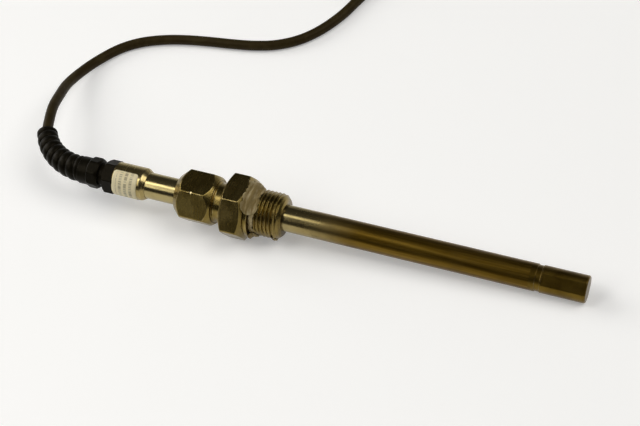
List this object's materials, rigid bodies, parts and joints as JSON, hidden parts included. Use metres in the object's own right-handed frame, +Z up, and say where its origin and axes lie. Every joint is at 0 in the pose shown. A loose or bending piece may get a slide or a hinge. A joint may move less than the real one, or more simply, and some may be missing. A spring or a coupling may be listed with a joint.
{
  "type": "resistance thermometer probe",
  "caption": "Resistance thermometer probe with a compression fitting, a sealing collar and process thread, a black cable gland with a bend spiral, and a coiled fixed cable.",
  "frame": {"origin": "on the floor under the middle of the probe, its fitting, its gland and the bend spiral; the free cable isn't counted", "axes": "+X runs along the probe towards its tip, in plan; +Y is the side that the cable leaves to; +Z is up"},
  "size_m": [0.2769, 0.2991, 0.0274],
  "materials": {
    "tube_steel": "satin, heat tinted",
    "tip_steel": "satin, milled flats",
    "fitting_steel": "turned and milled",
    "sleeve_steel": "finely turned",
    "ferrule_steel": "turned",
    "tape": "worn sealing tape",
    "label_film": "matt film",
    "gland_plastic": "moulded",
    "cap_plastic": "moulded, slightly glossy",
    "rubber": "matt",
    "jacket": "smooth jacket",
    "core_red": "smooth",
    "core_white": "smooth",
    "element_ceramic": "matt",
    "insulator_ceramic": "matt",
    "lead_metal": "drawn wire",
    "crimp_metal": "tinned",
    "potting": "cast resin",
    "strap_plastic": "moulded"
  },
  "bodies": {
    "root": {"probe_tube": "tube_steel", "tip_plug": "tip_steel", "rtd_element": "element_ceramic", "potting_plug": "potting", "transition_sleeve": "sleeve_steel", "label": "label_film", "fitting_body": "fitting_steel", "fitting_nut": "fitting_steel", "front_ferrule": "ferrule_steel", "back_ferrule": "ferrule_steel", "thread_seal": "tape", "gland_body": "gland_plastic", "gland_gasket": "rubber", "gland_seal": "rubber", "gland_cap": "cap_plastic", "cable_held": "jacket", "cable": "jacket", "cable_coil": "jacket", "cable_tail": "jacket", "coil_strap": "strap_plastic", "end_sleeve": "rubber", "insulator_1": "insulator_ceramic", "lead_1": "lead_metal", "splice_1": "crimp_metal", "core_1": "core_red", "end_core_1": "core_red", "end_ferrule_1": "crimp_metal", "insulator_2": "insulator_ceramic", "lead_2": "lead_metal", "splice_2": "crimp_metal", "core_2": "core_white", "end_core_2": "core_white", "end_ferrule_2": "crimp_metal", "insulator_3": "insulator_ceramic", "lead_3": "lead_metal", "splice_3": "crimp_metal", "core_3": "core_red", "end_core_3": "core_red", "end_ferrule_3": "crimp_metal", "insulator_4": "insulator_ceramic", "lead_4": "lead_metal", "splice_4": "crimp_metal", "core_4": "core_white", "end_core_4": "core_white", "end_ferrule_4": "crimp_metal"}
  },
  "joints": []
}
